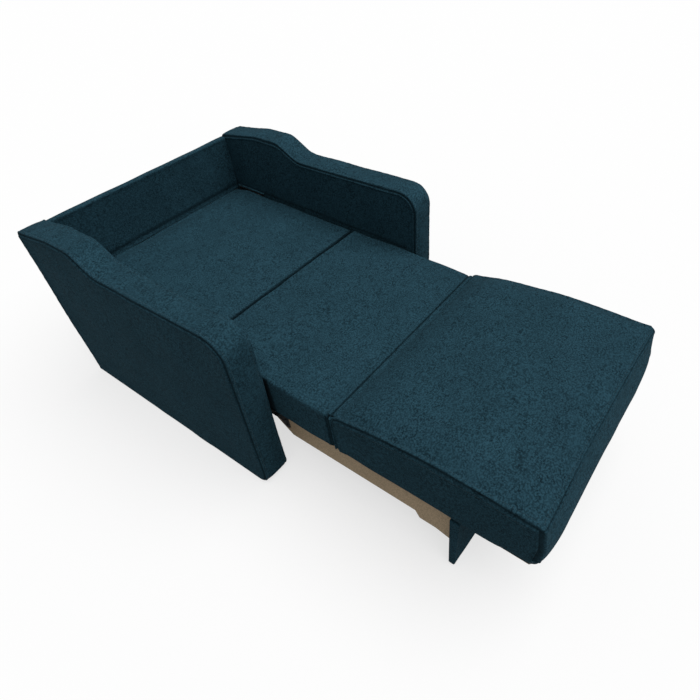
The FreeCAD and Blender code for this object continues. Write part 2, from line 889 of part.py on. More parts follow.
def build_section(name, cushion, frame, screws, extra_room):
    """Cover, foam, rails, slats and dust cover of one section."""
    room = screws + extra_room
    save(name + "_cover", make_cover(cushion, room))
    save(name + "_foam", make_foam(cushion, frame, room))
    save(name + "_frame", cut_all(frame.rails(), screws))
    save(name + "_slats", frame.slats())
    save(name + "_dust_cover", make_dust_cover(cushion, screws))
    save(name + "_screws", Part.makeCompound(screws))


def build_rear_section():
    screws = under_screws(False) + pivot_plate_screws()
    plates = pivot_plates()
    build_section("rear_section", rear_cushion, rear_frame, screws, pivot_room() + plates.Solids)
    leaves = [under_leaf(x, False) for x in hinge_places]
    save("rear_section_fold_leaves", cut_all(Part.makeCompound(leaves), screws))
    save("rear_section_pivot_plates", cut_all(plates, screws))
    save("fold_hinge_pins", hinge_pins(fold_depth, under_pin_height))


def build_middle_section():
    screws = under_screws(True) + top_screws(False)
    build_section("middle_section", middle_cushion, middle_frame, screws, [])
    fold_leaves = [under_leaf(x, True) for x in hinge_places]
    seat_leaves = [top_leaf(x, False) for x in hinge_places]
    save("middle_section_fold_leaves", cut_all(Part.makeCompound(fold_leaves), screws))
    save("middle_section_seat_leaves", cut_all(Part.makeCompound(seat_leaves), screws))


def build_seat_section():
    screws = top_screws(True)
    build_section("seat_section", seat_cushion, seat_frame, screws, [])
    leaves = [top_leaf(x, True) for x in hinge_places]
    save("seat_section_leaves", cut_all(Part.makeCompound(leaves), screws))
    save("seat_hinge_pins", hinge_pins(seat_depth, top_pin_height))


def build_pull_out():
    bolts = panel_bolts()
    fittings = strap_bolts()
    board = prism(side_board_outline(), board_outer - board_thickness, board_outer)
    strap = prism(slider_strap_outline(), board_outer, board_outer + strap_thickness)
    crossbar = block(board_thickness - board_outer, board_outer - board_thickness, crossbar_depth,
                     crossbar_depth + crossbar_thickness, board_top - crossbar_height, board_top)
    pin = rod_across(slide_pin, board_outer + strap_thickness, arm_inner - rail_wall - running_gap,
                     slide_pin_depth, slide_height)
    shoe = slider(slide_pin_depth, slide_block_length, slide_height, slide_block_height,
                  slide_rail_depth, slide_pin)
    core = panel_core_solid()
    save("left_side_board", cut_all(board, bolts + fittings))
    save("right_side_board", cut_all(mirrored(board), bolts + fittings))
    save("pull_out_crossbar", cut_all(crossbar, fittings))
    save("slider_straps", cut_all(both_sides(strap), fittings))
    save("slider_bolts", Part.makeCompound(fittings))
    save("slider_pins", both_sides(pin))
    save("slider_shoes", both_sides(shoe))
    save("front_panel_board", cut_all(core, bolts))
    save("front_panel_cover", cut_all(panel_cover_solid(), [core] + bolts))
    save("front_panel_bolts", Part.makeCompound(bolts))
    save("front_panel_glides", panel_glides())


build_arms()
build_back()
build_rails()
build_pivot_carriage()
build_rear_section()
build_middle_section()
build_seat_section()
build_pull_out()
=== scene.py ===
import json
import math

import bpy
import numpy as np
from mathutils import Euler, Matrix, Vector


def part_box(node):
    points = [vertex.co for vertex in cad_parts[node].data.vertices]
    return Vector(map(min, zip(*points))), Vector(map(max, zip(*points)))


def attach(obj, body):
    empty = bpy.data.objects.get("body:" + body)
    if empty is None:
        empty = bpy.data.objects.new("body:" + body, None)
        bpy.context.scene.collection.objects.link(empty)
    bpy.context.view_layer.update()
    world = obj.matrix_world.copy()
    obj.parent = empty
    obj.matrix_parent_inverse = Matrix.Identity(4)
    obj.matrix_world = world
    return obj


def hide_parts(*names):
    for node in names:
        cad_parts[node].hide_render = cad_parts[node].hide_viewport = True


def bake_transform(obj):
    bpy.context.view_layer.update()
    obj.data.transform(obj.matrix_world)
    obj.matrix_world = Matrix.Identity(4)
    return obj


# Convertible chair bed, standing open as a bed. Metres, +Y to the back panel, +Z up.
# A depth is measured forward from the front face of the back panel, as in the part's source.

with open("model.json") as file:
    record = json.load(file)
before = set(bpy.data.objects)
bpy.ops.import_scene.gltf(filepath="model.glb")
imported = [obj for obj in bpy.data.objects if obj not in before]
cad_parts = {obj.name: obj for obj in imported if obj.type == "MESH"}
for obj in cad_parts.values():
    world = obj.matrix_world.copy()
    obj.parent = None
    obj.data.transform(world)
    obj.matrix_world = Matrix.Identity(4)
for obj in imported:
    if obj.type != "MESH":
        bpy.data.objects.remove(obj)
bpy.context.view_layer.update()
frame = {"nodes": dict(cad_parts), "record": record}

BACK_FACE = 0.950
CAMERA_DEPTH = 2.023135
FOLD_DEPTH = 0.692
SEAT_DEPTH = 1.242
REAR_HALF = 0.385
MIDDLE_HALF = 0.388
SEAT_HALF = 0.392
ARM_INNER = 0.396
ARM_OUTER = 0.4965
PANEL_HALF = 0.381
PANEL_DEPTH = 1.638
CUSHION_GAP = 0.003

# Fabric folds that close the hinge between the middle and the seat cushion.
SEAM_DEPTH = 1.243
GUSSET_REAR = 1.236
GUSSET_FRONT = 1.249
LIP_BOTTOM = 0.4449

# Where the cushions of the open bed press against the arms and the back panel, which get a line of
# painted shade there.
BED_LINE_HEIGHT = 0.456
BED_LINE_FRONT = 0.96

# Distances from a sewn border at which a padded piece has its rows of points, and the row that
# the stitches follow.
EDGE_STEPS = (0.0, 0.0015, 0.0032, 0.005, 0.0075, 0.0105, 0.0145, 0.020)
EVEN_STEPS = (0.0,)
STITCH_ROW = 5
LEAST_ROUND = 0.002


# Camera, floor and lights

def make_camera():
    """The photograph's camera, fitted to the bed's straight seams and edges."""
    data = bpy.data.cameras.new("camera")
    data.sensor_width = 36.0
    data.lens = 28.435
    data.shift_x = -0.10538
    data.shift_y = -0.026943
    data.clip_end = 100.0
    camera = bpy.data.objects.new("camera", data)
    camera.location = (-1.01736, BACK_FACE - CAMERA_DEPTH, 1.694581)
    camera.rotation_euler = Euler((0.809717, 0.020717, -0.974387))
    bpy.context.scene.collection.objects.link(camera)
    bpy.context.scene.camera = camera


def far_light(name, source, spread, power):
    """Broad soft light from a direction, as even at the far end of the floor as at the object."""
    data = bpy.data.lights.new(name, "SUN")
    data.angle = math.radians(spread)
    data.energy = power
    light = bpy.data.objects.new(name, data)
    light.rotation_euler = (-Vector(source)).to_track_quat("-Z", "Y").to_euler()
    bpy.context.scene.collection.objects.link(light)


def floor_material():
    """Pale floor: white to the eye, duller to the light that it throws back at the object."""
    dull, pale, glow_share = 0.27, 0.93, 0.67
    material = bpy.data.materials.new("floor")
    material.use_nodes = True
    tree = material.node_tree
    shader = tree.nodes["Principled BSDF"]
    shader.inputs["Roughness"].default_value = 0.9
    shader.inputs["Specular IOR Level"].default_value = 0.0
    path = tree.nodes.new("ShaderNodeLightPath")
    seen = tree.nodes.new("ShaderNodeMath")
    seen.operation = "MAXIMUM"
    tree.links.new(path.outputs["Is Camera Ray"], seen.inputs[0])
    tree.links.new(path.outputs["Is Glossy Ray"], seen.inputs[1])
    plain = tree.nodes.new("ShaderNodeMix")
    plain.data_type = "RGBA"
    plain.inputs["A"].default_value = (dull, dull, dull, 1)
    plain.inputs["B"].default_value = (pale, pale, pale, 1)
    tree.links.new(seen.outputs["Value"], plain.inputs["Factor"])
    tree.links.new(plain.outputs["Result"], shader.inputs["Base Color"])
    glow = tree.nodes.new("ShaderNodeEmission")
    glow.inputs["Color"].default_value = (1.0, 1.0, 1.0, 1)
    share = tree.nodes.new("ShaderNodeMath")
    share.operation = "MULTIPLY"
    share.inputs[1].default_value = glow_share
    tree.links.new(seen.outputs["Value"], share.inputs[0])
    both = tree.nodes.new("ShaderNodeMixShader")
    tree.links.new(share.outputs["Value"], both.inputs["Fac"])
    tree.links.new(shader.outputs["BSDF"], both.inputs[1])
    tree.links.new(glow.outputs["Emission"], both.inputs[2])
    tree.links.new(both.outputs["Shader"], tree.nodes["Material Output"].inputs["Surface"])
    return material


def make_stage():
    """Floor far past the picture's edges, and an even white sky."""
    reach = 30.0
    mesh = bpy.data.meshes.new("floor")
    mesh.from_pydata([(-reach, -reach, 0), (reach, -reach, 0), (reach, reach, 0), (-reach, reach, 0)],
                     [], [(0, 1, 2, 3)])
    floor = bpy.data.objects.new("floor", mesh)
    bpy.context.scene.collection.objects.link(floor)
    mesh.materials.append(floor_material())
    world = bpy.data.worlds.new("world")
    world.use_nodes = True
    background = world.node_tree.nodes["Background"]
    background.inputs["Color"].default_value = (1, 1, 1, 1)
    background.inputs["Strength"].default_value = 0.32
    bpy.context.scene.world = world
    bpy.context.scene.view_settings.view_transform = "Standard"


# Materials

class Paint:
    """One procedural material, built node by node."""

    def __init__(self, name, color, roughness):
        self.material = bpy.data.materials.new(name)
        self.material.use_nodes = True
        self.tree = self.material.node_tree
        self.shader = self.tree.nodes["Principled BSDF"]
        self.shader.inputs["Base Color"].default_value = (*color, 1)
        self.shader.inputs["Roughness"].default_value = roughness
        self.place = self.tree.nodes.new("ShaderNodeTexCoord").outputs["Object"]
        self.height = None

    def stretched(self, scale):
        """Object coordinates scaled by axis, for a grain that runs one way."""
        node = self.tree.nodes.new("ShaderNodeMapping")
        node.inputs["Scale"].default_value = scale
        self.tree.links.new(self.place, node.inputs["Vector"])
        return node.outputs["Vector"]

    def noise(self, scale, detail, vector=None):
        node = self.tree.nodes.new("ShaderNodeTexNoise")
        node.inputs["Scale"].default_value = scale
        node.inputs["Detail"].default_value = detail
        self.tree.links.new(vector or self.place, node.inputs["Vector"])
        return node.outputs["Fac"]

    def cells(self, scale):
        """Distance to the nearest of many scattered points."""
        node = self.tree.nodes.new("ShaderNodeTexVoronoi")
        node.inputs["Scale"].default_value = scale
        self.tree.links.new(self.place, node.inputs["Vector"])
        return node.outputs["Distance"]

    def ribs(self, scale, axis):
        """Slightly wavy bands along an axis."""
        node = self.tree.nodes.new("ShaderNodeTexWave")
        node.bands_direction = axis
        node.inputs["Scale"].default_value = scale
        node.inputs["Distortion"].default_value = 1.5
        self.tree.links.new(self.place, node.inputs["Vector"])
        return node.outputs["Fac"]

    def band(self, value, low, high, out_low=0.0, out_high=1.0):
        """The value stretched from one range to another, and held at its ends."""
        node = self.tree.nodes.new("ShaderNodeMapRange")
        node.inputs["From Min"].default_value = low
        node.inputs["From Max"].default_value = high
        node.inputs["To Min"].default_value = out_low
        node.inputs["To Max"].default_value = out_high
        self.tree.links.new(value, node.inputs["Value"])
        return node.outputs["Result"]

    def math(self, operation, a, b):
        node = self.tree.nodes.new("ShaderNodeMath")
        node.operation = operation
        for value, socket in ((a, node.inputs[0]), (b, node.inputs[1])):
            if isinstance(value, (int, float)):
                socket.default_value = value
            else:
                self.tree.links.new(value, socket)
        return node.outputs["Value"]

    def mix(self, factor, first, second):
        """Blend of two colours; each is a colour or the output of another blend."""
        node = self.tree.nodes.new("ShaderNodeMix")
        node.data_type = "RGBA"
        if isinstance(factor, float):
            node.inputs["Factor"].default_value = factor
        else:
            self.tree.links.new(factor, node.inputs["Factor"])
        for value, socket in ((first, node.inputs["A"]), (second, node.inputs["B"])):
            if isinstance(value, tuple):
                socket.default_value = (*value, 1)
            else:
                self.tree.links.new(value, socket)
        return node.outputs["Result"]

    def color(self, output):
        self.tree.links.new(output, self.shader.inputs["Base Color"])

    def rough(self, value, low, high):
        roughness = self.band(value, 0.25, 0.75, low, high)
        self.tree.links.new(roughness, self.shader.inputs["Roughness"])

    def bump(self, value, depth, strength=1.0):
        node = self.tree.nodes.new("ShaderNodeBump")
        node.inputs["Strength"].default_value = strength
        node.inputs["Distance"].default_value = depth
        self.tree.links.new(value, node.inputs["Height"])
        if self.height is not None:
            self.tree.links.new(self.height, node.inputs["Normal"])
        self.height = node.outputs["Normal"]
        self.tree.links.new(self.height, self.shader.inputs["Normal"])


def scaled(color, factor):
    """The colour made lighter or darker."""
    return tuple(channel * factor for channel in color)


def upholstery():
    """Short pile fabric with light and dark flecks, cloudy patches and a fine rib, and painted shade
    along its seams and where it presses against its neighbours.
    """
    base = (0.0143, 0.0415, 0.0580)
    paint = Paint("upholstery_fabric", base, 0.92)
    fleck = paint.band(paint.noise(205.0, 3.0), 0.42, 0.58)
    mottle = paint.band(paint.noise(95.0, 3.0), 0.40, 0.60)
    cloud = paint.band(paint.noise(30.0, 3.0), 0.34, 0.66)
    patch = paint.band(paint.noise(7.0, 2.0), 0.35, 0.65)
    thread = paint.band(paint.noise(650.0, 2.0), 0.38, 0.62)
    flecked = paint.mix(fleck, scaled(base, 0.10), scaled(base, 2.15))
    threads = paint.mix(thread, scaled(base, 0.15), scaled(base, 2.10))
    mottled = paint.mix(mottle, scaled(base, 0.40), scaled(base, 1.65))
    fine = paint.mix(0.28, paint.mix(0.35, flecked, threads), mottled)
    clouded = paint.mix(paint.math("MULTIPLY", cloud, 0.38), fine, scaled(base, 1.62))
    patched = paint.mix(paint.math("MULTIPLY", patch, 0.22), clouded, scaled(base, 0.68))
    # Painted shade: the per-point attribute read here darkens the fabric in seam furrows and where the
    # piece presses against neighbouring parts.
    seam = paint.tree.nodes.new("ShaderNodeAttribute")
    seam.attribute_name = "seam"
    furrow = paint.math("MULTIPLY", seam.outputs["Fac"], 0.68)
    paint.color(paint.mix(furrow, patched, scaled(base, 0.12)))
    weave = paint.math("MULTIPLY", paint.ribs(210.0, "X"), paint.ribs(210.0, "Y"))
    paint.bump(weave, 0.0004, 0.35)
    paint.bump(fleck, 0.0008, 0.5)
    paint.shader.inputs["Specular IOR Level"].default_value = 0.03
    paint.shader.inputs["Sheen Weight"].default_value = 0.03
    paint.shader.inputs["Sheen Roughness"].default_value = 0.45
    paint.shader.inputs["Sheen Tint"].default_value = (0.35, 0.65, 0.78, 1)
    return paint.material


def thread_material():
    """Twisted sewing thread, a little lighter than the fabric."""
    base = (0.020, 0.050, 0.066)
    paint = Paint("sewing_thread", base, 0.6)
    twist = paint.band(paint.noise(1500.0, 1.0), 0.35, 0.65)
    paint.color(paint.mix(twist, scaled(base, 0.8), scaled(base, 1.4)))
    paint.bump(twist, 0.0002, 0.5)
    return paint.material


def wood_material():
    """Planed softwood, its fine lines level on every side of a piece."""
    base = (0.50, 0.33, 0.18)
    paint = Paint("raw_wood", base, 0.6)
    grain = paint.noise(1.0, 4.0, paint.stretched((14.0, 14.0, 160.0)))
    fibre = paint.noise(1.0, 2.0, paint.stretched((60.0, 60.0, 900.0)))
    rings = paint.mix(paint.band(grain, 0.35, 0.62), scaled(base, 1.15), scaled(base, 0.62))
    paint.color(paint.mix(paint.math("MULTIPLY", fibre, 0.3), rings, scaled(base, 0.8)))
    paint.rough(fibre, 0.5, 0.7)
    paint.bump(fibre, 0.0004, 0.4)
    return paint.material


def board_material():
    """Bare chipboard: small pale and brown chips, with a few dark ones."""
    base = (0.50, 0.378, 0.240)
    paint = Paint("board", base, 0.75)
    chips = paint.band(paint.cells(190.0), 0.15, 0.75)
    dust = paint.band(paint.noise(420.0, 3.0), 0.35, 0.65)
    stain = paint.band(paint.noise(9.0, 3.0), 0.35, 0.65)
    chipped = paint.mix(chips, scaled(base, 1.22), scaled(base, 0.72))
    dusty = paint.mix(paint.math("MULTIPLY", dust, 0.4), chipped, scaled(base, 1.3))
    paint.color(paint.mix(paint.math("MULTIPLY", stain, 0.25), dusty, scaled(base, 0.7)))
    paint.bump(chips, 0.0005, 0.4)
    return paint.material


def foam_material():
    """Yellow foam with small open pores."""
    base = (0.72, 0.62, 0.36)
    paint = Paint("foam_core", base, 0.95)
    pores = paint.band(paint.cells(700.0), 0.1, 0.6)
    tone = paint.band(paint.noise(14.0, 2.0), 0.35, 0.65)
    paint.color(paint.mix(tone, scaled(base, 0.88), scaled(base, 1.08)))
    paint.bump(pores, 0.0006, 0.6)
    return paint.material


def metal_material(name, color, metallic, low, high, grain):
    """Plated or painted metal, with faint rolling lines and rub marks."""
    paint = Paint(name, color, (low + high) / 2)
    paint.shader.inputs["Metallic"].default_value = metallic
    lines = paint.noise(1.0, 3.0, paint.stretched((grain, 12.0, grain)))
    marks = paint.band(paint.noise(45.0, 4.0), 0.35, 0.65)
    paint.color(paint.mix(paint.math("MULTIPLY", marks, 0.5), scaled(color, 0.9), scaled(color, 1.25)))
    paint.rough(marks, low, high)
    paint.bump(lines, 0.0001, 0.3)
    return paint.material


def nylon_material(name, color):
    """Matte plastic with faint rub marks."""
    paint = Paint(name, color, 0.5)
    rub = paint.band(paint.noise(70.0, 4.0), 0.35, 0.65)
    paint.color(paint.mix(rub, scaled(color, 0.92), scaled(color, 1.05)))
    paint.rough(rub, 0.38, 0.58)
    paint.bump(paint.noise(900.0, 2.0), 0.0001, 0.3)
    return paint.material


def dust_cloth_material():
    """Black non-woven cloth with its small pressed dots."""
    base = (0.020, 0.020, 0.022)
    paint = Paint("dust_cloth", base, 0.85)
    dots = paint.band(paint.cells(420.0), 0.1, 0.5)
    fuzz = paint.band(paint.noise(600.0, 3.0), 0.35, 0.65)
    paint.color(paint.mix(fuzz, scaled(base, 0.7), scaled(base, 1.6)))
    paint.bump(dots, 0.0003, 0.6)
    return paint.material


def make_materials():
    return {
        "upholstery_fabric": upholstery(),
        "foam_core": foam_material(),
        "raw_wood": wood_material(),
        "board": board_material(),
        "zinc_steel": metal_material("zinc_steel", (0.42, 0.43, 0.45), 1.0, 0.32, 0.55, 300.0),
        "black_steel": metal_material("black_steel", (0.016, 0.016, 0.018), 0.0, 0.42, 0.62, 200.0),
        "nylon": nylon_material("nylon", (0.012, 0.012, 0.013)),
        "dust_cloth": dust_cloth_material(),
        "floor_glide": nylon_material("floor_glide", (0.028, 0.028, 0.028)),
    }


def dress_frame(materials):
    """Every node of the frame gets the procedural material of its slot."""
    for part in frame["record"]["subparts"]:
        for slot in frame["nodes"][part["node"]].material_slots:
            slot.material = materials[part["material_slot"]]


# Shapes of padded pieces

def drawn_in(points, inset):
    """The same closed outline with every edge moved inwards, and its rounds to match."""
    count = len(points)
    moved = []
    for i, (depth, height, radius) in enumerate(points):
        here = np.array((depth, height))
        back = here - np.array(points[i - 1][:2])
        ahead = np.array(points[(i + 1) % count][:2]) - here
        back = back / np.linalg.norm(back)
        ahead = ahead / np.linalg.norm(ahead)
        first = np.array((back[1], -back[0]))
        second = np.array((ahead[1], -ahead[0]))
        place = here + inset * (first + second) / (1 + first @ second)
        turn = back[0] * ahead[1] - back[1] * ahead[0]
        change = -inset if turn < 0 else inset
        moved.append((place[0], place[1], max(LEAST_ROUND, radius + change)))
    return moved


def rounded(points, steps=10):
    """Dense closed line round the corners, and where the middle of each corner is on it."""
    line = []
    marks = []
    for i, (depth, height, radius) in enumerate(points):
        here = np.array((depth, height))
        back = np.array(points[i - 1][:2]) - here
        ahead = np.array(points[(i + 1) % len(points)][:2]) - here
        back = back / np.linalg.norm(back)
        ahead = ahead / np.linalg.norm(ahead)
        half = math.acos(max(-1.0, min(1.0, float(back @ ahead)))) / 2
        middle = (back + ahead) / np.linalg.norm(back + ahead)
        centre = here + middle * radius / math.sin(half)
        start = here + back * radius / math.tan(half) - centre
        end = here + ahead * radius / math.tan(half) - centre
        for t in np.linspace(0, 1, steps + 1):
            ray = start * (1 - t) + end * t
            line.append(centre + ray * radius / np.linalg.norm(ray))
        marks.append(len(line) - 1 - steps // 2)
    return np.array(line), marks


def stretch_of(line, first, last, places):
    """Points at given fractions of the line between two marks."""
    if last <= first:
        last += len(line)
    part = line[np.arange(first, last + 1) % len(line)]
    steps = np.linalg.norm(np.diff(part, axis=0), axis=1)
    run = np.concatenate([[0.0], np.cumsum(steps)])
    wanted = places * run[-1]
    return np.stack([np.interp(wanted, run, part[:, k]) for k in (0, 1)], axis=1), run[-1]


def topology(nx, nt, nf):
    """Vertex numbers of the six faces of a boxed pad, and its quads."""
    count = 2 * (nt - 1) + 2 * (nf - 1)
    ring = np.arange(nx * count).reshape(nx, count)
    ring = np.hstack([ring, ring[:, :1]])
    a, b, c = nt - 1, nt + nf - 2, 2 * nt + nf - 3
    grids = {"top": ring[:, :a + 1], "front": ring[:, a:b + 1],
             "bottom": ring[:, b:c + 1][:, ::-1], "rear": ring[:, c:][:, ::-1]}
    start = nx * count
    for name, station in (("near", 0), ("far", nx - 1)):
        cap = np.empty((nt, nf), int)
        inner = (nt - 2) * (nf - 2)
        cap[1:-1, 1:-1] = start + np.arange(inner).reshape(nt - 2, nf - 2)
        cap[:, 0] = grids["top"][station]
        cap[:, -1] = grids["bottom"][station]
        cap[0, :] = grids["rear"][station]
        cap[-1, :] = grids["front"][station]
        grids[name] = cap
        start += inner
    quads = []
    for name, grid in grids.items():
        corners = np.stack([grid[:-1, :-1], grid[1:, :-1], grid[1:, 1:], grid[:-1, 1:]], axis=-1)
        if name in ("far", "bottom", "rear"):
            corners = corners[..., ::-1]
        quads.append(corners.reshape(-1, 4))
    return start, grids, np.concatenate(quads)


def coons(grid_points, grid):
    """Fill the inside of a cap from its four borders."""
    nt, nf = grid.shape
    s = np.linspace(0, 1, nt)[:, None, None]
    t = np.linspace(0, 1, nf)[None, :, None]
    edge = grid_points[grid]
    across = edge[:, :1] * (1 - t) + edge[:, -1:] * t
    along = edge[:1, :] * (1 - s) + edge[-1:, :] * s
    corner = (edge[:1, :1] * (1 - s) * (1 - t) + edge[:1, -1:] * (1 - s) * t
              + edge[-1:, :1] * s * (1 - t) + edge[-1:, -1:] * s * t)
    grid_points[grid[1:-1, 1:-1]] = (across + along - corner)[1:-1, 1:-1]


def spread(length, spacing, edge_steps):
    """Fractions of a length: close together near both ends, even between them."""
    near = [step for step in edge_steps if step < length * 0.4]
    span = length - 2 * near[-1]
    middle = np.linspace(near[-1], length - near[-1], max(2, round(span / spacing)) + 1)
    places = near[:-1] + list(middle) + [length - step for step in reversed(near[:-1])]
    return np.array(places) / length


class Made:
    """A finished piece with its surface points, their grids and outward normals."""

    def __init__(self, piece, points, grids, normals):
        self.piece = piece
        self.points = points
        self.grids = grids
        self.normals = normals

    def line(self, face, border):
        """Surface points and normals along the stitch line beside one border of a face."""
        grid = self.grids[face]
        row = {"a": grid[STITCH_ROW], "b": grid[-1 - STITCH_ROW],
               "c": grid[:, STITCH_ROW], "d": grid[:, -1 - STITCH_ROW]}[border]
        row = row[STITCH_ROW:-STITCH_ROW]
        return self.points[row], self.normals[row]


class Pad:
    """A padded piece: a side outline swept across the width, with caps at both sides.

    outline(across) gives (depth, height, radius) corners for a place across from -1 to 1.
    corners are the numbers of the rear top, front top, front bottom and rear bottom corners.
    lift(points) moves the finished points, bulge is how far the near and far caps swell, and
    shade(points) gives the painted shade of the fabric where it presses against its neighbours.
    """

    def __init__(self, name, x0, x1, outline, corners, side_round, lift=None, bulge=(0.0, 0.0),
                 shade=None):
        self.name = name
        self.x0 = x0
        self.x1 = x1
        self.outline = outline
        self.corners = corners
        self.side_round = side_round
        self.lift = lift
        self.bulge = bulge
        self.shade = shade

    def sides(self, x, tops, fronts):
        """The four sides of the section at x, and how long the top and front are."""
        half = (self.x1 - self.x0) / 2
        across = (x - self.x0) / half - 1
        from_edge = min(x - self.x0, self.x1 - x)
        inset = 0.0
        if from_edge < self.side_round:
            rest = self.side_round - from_edge
            inset = self.side_round - math.sqrt(max(0.0, self.side_round ** 2 - rest ** 2))
        line, marks = rounded(drawn_in(self.outline(across), inset))
        rear_top, front_top, front_low, rear_low = (marks[i] for i in self.corners)
        top, top_length = stretch_of(line, rear_top, front_top, tops)
        front, front_length = stretch_of(line, front_top, front_low, fronts)
        bottom, _ = stretch_of(line, front_low, rear_low, (1 - tops)[::-1])
        rear, _ = stretch_of(line, rear_low, rear_top, (1 - fronts)[::-1])
        return top, front, bottom, rear, top_length, front_length

    def points(self, widths, tops, fronts):
        """All vertices for the given fractions across, along the top and down the front."""
        count, grids, quads = topology(len(widths), len(tops), len(fronts))
        points = np.zeros((count, 3))
        for i, fraction in enumerate(widths):
            x = self.x0 + (self.x1 - self.x0) * fraction
            top, front, bottom, rear, _, _ = self.sides(x, tops, fronts)
            ring = np.concatenate([top[:-1], front[:-1], bottom[:-1], rear[:-1]])
            start = i * len(ring)
            points[start:start + len(ring), 0] = x
            points[start:start + len(ring), 1:] = ring
        for name in ("near", "far"):
            coons(points, grids[name])
        s = np.linspace(0, 1, len(tops))[1:-1, None]
        t = np.linspace(0, 1, len(fronts))[None, 1:-1]
        swell = (1 - (2 * s - 1) ** 4) * (1 - (2 * t - 1) ** 2)
        for name, sign, bulge in (("near", -1, self.bulge[0]), ("far", 1, self.bulge[1])):
            points[grids[name][1:-1, 1:-1], 0] += sign * bulge * swell
        if self.lift is not None:
            self.lift(points)
        return points, grids, quads

    def sizes(self):
        """Width, and length of the top and of the front in the middle of the piece."""
        ends = np.array((0.0, 1.0))
        _, _, _, _, top, front = self.sides((self.x0 + self.x1) / 2, ends, ends)
        return self.x1 - self.x0, top, front


def to_mesh(name, points, quads):
    """Mesh object from points given as (x, depth, height)."""
    mesh = bpy.data.meshes.new(name)
    places = [(x, BACK_FACE - depth, z) for x, depth, z in points]
    mesh.from_pydata(places, [], quads.tolist())
    mesh.polygons.foreach_set("use_smooth", [True] * len(mesh.polygons))
    mesh.update()
    piece = bpy.data.objects.new(name, mesh)
    bpy.context.scene.collection.objects.link(piece)
    return piece


def as_depths(points):
    """Mesh places turned back into (x, depth, height)."""
    out = points.copy()
    out[:, 1] = BACK_FACE - out[:, 1]
    return out


def normals_of(points, quads):
    """Outward normal at every vertex."""
    a, b, c, d = (points[quads[:, k]] for k in range(4))
    face = np.cross(c - a, d - b)
    total = np.zeros_like(points)
    for k in range(4):
        np.add.at(total, quads[:, k], face)
    total /= np.maximum(np.linalg.norm(total, axis=1), 1e-12)[:, None]
    middle = points.mean(0)
    if ((points - middle) * total).sum() < 0:
        total = -total
    return total


def inflated(pad, points, grids, quads):
    """How far an air-filled cloth skin, held at its seams, moves away from the given form."""
    piece = to_mesh(pad.name + "_skin", points, quads)
    held = set()
    for name, grid in grids.items():
        held.update(np.concatenate([grid[0], grid[-1], grid[:, 0], grid[:, -1]]).tolist())
        if name == "bottom":
            held.update(grid.reshape(-1).tolist())
    group = piece.vertex_groups.new(name="seams")
    group.add(sorted(held), 1.0, "REPLACE")
    modifier = piece.modifiers.new("cloth", "CLOTH")
    cloth = modifier.settings
    cloth.quality = 5
    cloth.mass = 0.3
    cloth.tension_stiffness = 12.0
    cloth.compression_stiffness = 12.0
    cloth.shear_stiffness = 4.0
    cloth.bending_stiffness = 0.6
    cloth.use_pressure = True
    cloth.uniform_pressure_force = 4.0
    cloth.vertex_group_mass = "seams"
    cloth.effector_weights.gravity = 0.0
    modifier.collision_settings.use_collision = False
    scene = bpy.context.scene
    for number in range(1, 21):
        scene.frame_set(number)
    seen = piece.evaluated_get(bpy.context.evaluated_depsgraph_get())
    result = np.empty(len(points) * 3)
    seen.data.vertices.foreach_get("co", result)
    scene.frame_set(1)
    mesh = piece.data
    bpy.data.objects.remove(piece)
    bpy.data.meshes.remove(mesh)
    return as_depths(result.reshape(-1, 3)) - points


def eased(line_in, values, line_out):
    """Smooth interpolation along the first axis of a table of values."""
    slopes = np.gradient(values, line_in, axis=0)
    index = np.clip(np.searchsorted(line_in, line_out) - 1, 0, len(line_in) - 2)
    step = line_in[index + 1] - line_in[index]
    t = (line_out - line_in[index]) / step
    shape = (-1,) + (1,) * (values.ndim - 1)
    t = t.reshape(shape)
    step = step.reshape(shape)
    from_first = 2 * t ** 3 - 3 * t ** 2 + 1
    from_first_slope = t ** 3 - 2 * t ** 2 + t
    from_next = -2 * t ** 3 + 3 * t ** 2
    from_next_slope = t ** 3 - t ** 2
    return (from_first * values[index] + from_first_slope * step * slopes[index]
            + from_next * values[index + 1] + from_next_slope * step * slopes[index + 1])


def carried(coarse, fine, moved):
    """The movement of a coarse face, carried to the places of a fine one."""
    rows = eased(coarse[0], moved, fine[0])
    columns = eased(coarse[1], rows.transpose(1, 0, 2), fine[1])
    return columns.transpose(1, 0, 2)


def face_places(widths, tops, fronts):
    """Fractions along the two directions of each face."""
    return {"top": (widths, tops), "bottom": (widths, tops), "front": (widths, fronts),
            "rear": (widths, fronts), "near": (tops, fronts), "far": (tops, fronts)}


def relief(distance):
    """Height of the fabric beside a seam: a furrow, a ridge and the line of stitches."""
    furrow = -0.0042 * np.exp(-(distance / 0.0020) ** 2)
    ridge = 0.0019 * np.exp(-((distance - 0.0058) / 0.0028) ** 2)
    stitches = -0.0011 * np.exp(-((distance - 0.0105) / 0.0017) ** 2)
    return furrow + ridge + stitches


def pucker(points, distance):
    """Small gathers beside a seam, fading away from it."""
    along = points[..., 0] * 1.0 + points[..., 1] * 0.93 + points[..., 2] * 0.87
    waves = (np.sin(along * 210.0) + 0.8 * np.sin(along * 137.0 + 1.3)
             + 0.6 * np.sin(along * 61.0 + 0.4))
    fade = np.exp(-((distance - 0.016) / 0.014) ** 2)
    return 0.00042 * waves * fade


def slack(points):
    """Slow, shallow unevenness of a stuffed surface."""
    x, depth, z = points[..., 0], points[..., 1], points[..., 2]
    return 0.0008 * (np.sin(x * 19.0 + depth * 7.0 + 0.6) + np.sin(depth * 23.0 - x * 11.0 + z * 9.0)
                     + 0.7 * np.sin(x * 37.0 - depth * 31.0 + z * 17.0 + 2.0))


